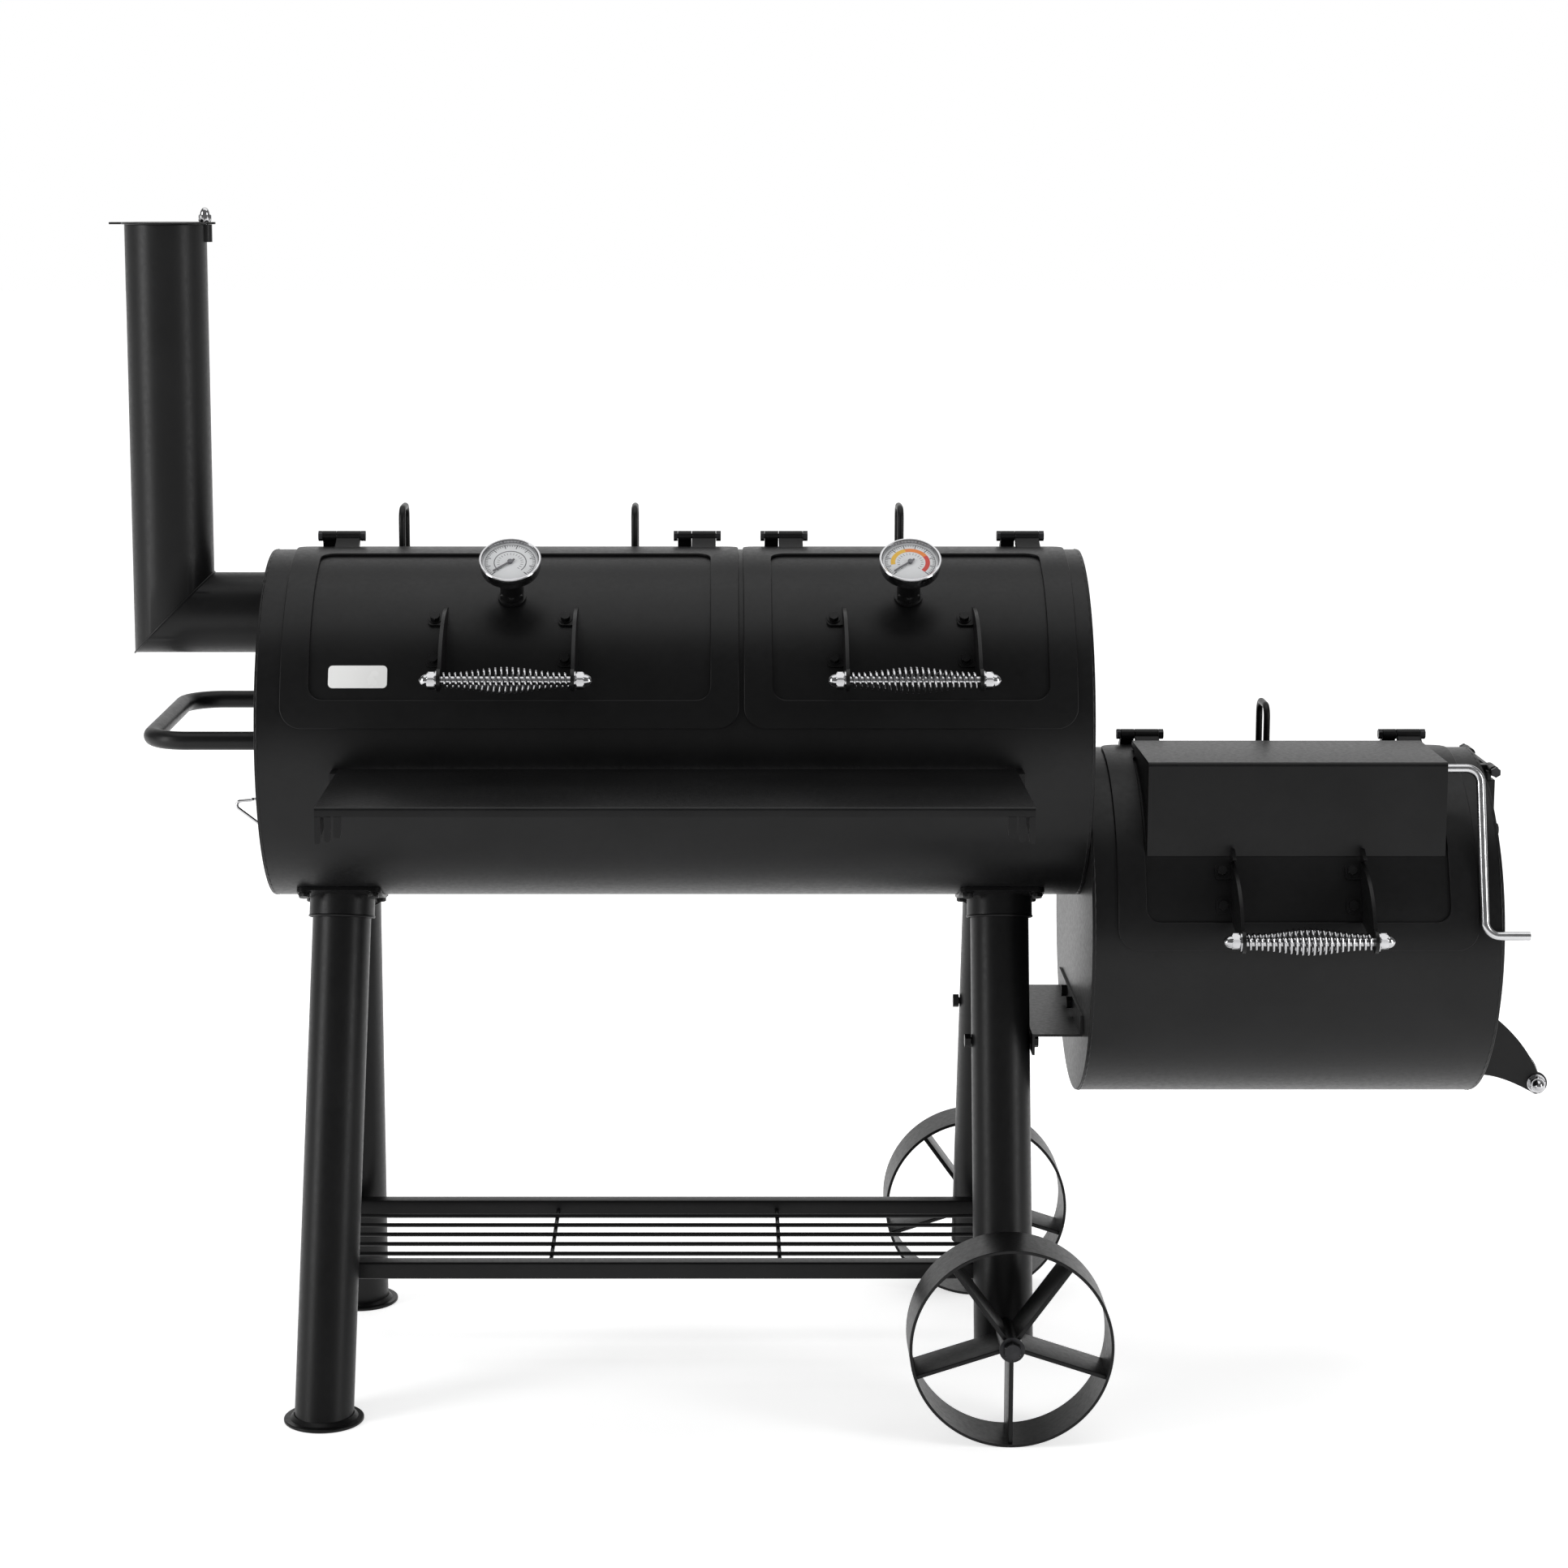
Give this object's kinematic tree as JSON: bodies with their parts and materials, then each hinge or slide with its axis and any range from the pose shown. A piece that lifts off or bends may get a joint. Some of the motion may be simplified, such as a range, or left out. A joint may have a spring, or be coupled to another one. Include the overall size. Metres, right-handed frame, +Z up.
{
  "type": "offset smoker",
  "caption": "Barrel charcoal smoker with a lower side firebox, hinged lids, mitred stack, folding shelf, spoked wheels and a bottom rack.",
  "frame": {"origin": "middle of the bottom of the bounding box, on the ground between the feet and the wheels", "axes": "+X along the barrels from the smoke stack to the firebox, +Y from the shelf at the front to the back, +Z up"},
  "size_m": [1.678, 0.759, 1.3797],
  "materials": {
    "black_coat": "satin black heat-resistant powder coat",
    "chrome": "bright chrome plate",
    "stainless": "polished stainless rod",
    "zinc_bolts": "blackened zinc",
    "grate_iron": "plain grate steel",
    "dial_case": "polished case with a printed face",
    "needle_black": "black lacquer",
    "white_plate": "white enamel, blank"
  },
  "bodies": {
    "frame": {"chamber_shell": "black_coat", "chamber_left_cap": "black_coat", "chamber_right_cap": "black_coat", "firebox_shell": "black_coat", "firebox_left_cap": "black_coat", "firebox_right_cap": "black_coat", "stack_pipe": "black_coat", "stack_cap_bolt": "chrome", "left_lid_hinge_pin_1": "zinc_bolts", "left_lid_hinge_pin_2": "zinc_bolts", "right_lid_hinge_pin_1": "zinc_bolts", "right_lid_hinge_pin_2": "zinc_bolts", "firebox_lid_hinge_pin_1": "zinc_bolts", "firebox_lid_hinge_pin_2": "zinc_bolts", "end_door_hinge_pin": "zinc_bolts", "cooking_grate_left": "grate_iron", "cooking_grate_right": "grate_iron", "charcoal_grate": "grate_iron", "leg_front_left": "black_coat", "leg_back_left": "black_coat", "leg_front_right": "black_coat", "leg_back_right": "black_coat", "leg_socket_front_left": "black_coat", "leg_socket_back_left": "black_coat", "leg_socket_front_right": "black_coat", "leg_socket_back_right": "black_coat", "axle": "zinc_bolts", "rack_front_rail": "black_coat", "rack_back_rail": "black_coat", "rack_grate": "black_coat", "firebox_bracket": "black_coat", "side_handle": "black_coat"},
    "left_lid": {"left_lid_panel": "black_coat", "left_lid_frame": "black_coat", "left_lid_handle_bar": "chrome", "left_lid_handle_spring": "chrome", "left_thermometer": "dial_case", "badge_plate": "white_plate"},
    "right_lid": {"right_lid_panel": "black_coat", "right_lid_frame": "black_coat", "right_lid_handle_bar": "chrome", "right_lid_handle_spring": "chrome", "right_thermometer": "dial_case"},
    "firebox_lid": {"firebox_lid_panel": "black_coat", "firebox_lid_frame": "black_coat", "firebox_lid_handle_bar": "chrome", "firebox_lid_handle_spring": "chrome", "fuel_hopper": "black_coat"},
    "left_needle": {"left_needle": "needle_black"},
    "right_needle": {"right_needle": "needle_black"},
    "crank": {"hopper_crank": "stainless"},
    "end_door": {"end_door": "black_coat", "end_door_handle_bar": "chrome", "end_door_handle_spring": "chrome"},
    "air_damper": {"air_damper": "black_coat"},
    "stack_cap": {"stack_cap": "black_coat"},
    "shelf": {"front_shelf": "black_coat"},
    "front_wheel": {"wheel_front": "black_coat"},
    "back_wheel": {"wheel_back": "black_coat"},
    "hook_ring": {"hook_ring": "chrome"}
  },
  "joints": [
    {"name": "left_lid_hinge", "type": "hinge", "parent": "frame", "child": "left_lid", "pos_m": [-0.37205, 0.0965, 0.997], "axis": [-1, 0, 0], "range_deg": [0, 150]},
    {"name": "right_lid_hinge", "type": "hinge", "parent": "frame", "child": "right_lid", "pos_m": [0.07745, 0.0965, 0.997], "axis": [-1, 0, 0], "range_deg": [0, 150]},
    {"name": "firebox_lid_hinge", "type": "hinge", "parent": "frame", "child": "firebox_lid", "pos_m": [0.51675, 0.0965, 0.761], "axis": [-1, 0, 0], "range_deg": [0, 136]},
    {"name": "hopper_crank_turn", "type": "hinge", "parent": "firebox_lid", "child": "crank", "pos_m": [0.51675, -0.0845, 0.751], "axis": [-1, 0, 0], "range_deg": [0, 90]},
    {"name": "stack_cap_swivel", "type": "hinge", "parent": "frame", "child": "stack_cap", "pos_m": [-0.72935, 0.0705, 1.3615], "axis": [0, 0, 1], "range_deg": [0, 150]},
    {"name": "end_door_hinge", "type": "hinge", "parent": "frame", "child": "end_door", "pos_m": [0.76025, 0.0705, 0.734], "axis": [0, -1, 0], "range_deg": [0, 100]},
    {"name": "air_damper_turn", "type": "hinge", "parent": "end_door", "child": "air_damper", "pos_m": [0.75295, 0.0705, 0.544], "axis": [1, 0, 0], "range_deg": [0, 90]},
    {"name": "shelf_fold", "type": "hinge", "parent": "frame", "child": "shelf", "pos_m": [-0.18405, -0.1515, 0.75], "axis": [1, 0, 0], "range_deg": [0, 90]},
    {"name": "front_wheel_spin", "type": "hinge", "parent": "frame", "child": "front_wheel", "pos_m": [0.19095, -0.1925, 0.115], "axis": [0, 1, 0], "continuous": true},
    {"name": "back_wheel_spin", "type": "hinge", "parent": "frame", "child": "back_wheel", "pos_m": [0.19095, 0.3335, 0.115], "axis": [0, 1, 0], "continuous": true},
    {"name": "left_needle_turn", "type": "hinge", "parent": "left_lid", "child": "left_needle", "pos_m": [-0.37205, -0.08495, 0.98629], "axis": [0, 0.6018, -0.7986], "range_deg": [0, 250]},
    {"name": "right_needle_turn", "type": "hinge", "parent": "right_lid", "child": "right_needle", "pos_m": [0.07745, -0.08495, 0.98629], "axis": [0, 0.6018, -0.7986], "range_deg": [0, 250]},
    {"name": "hook_ring_swing", "type": "hinge", "parent": "frame", "child": "hook_ring", "pos_m": [-0.66705, -0.0045, 0.7], "axis": [0, 1, 0], "range_deg": [0, 35]}
  ]
}
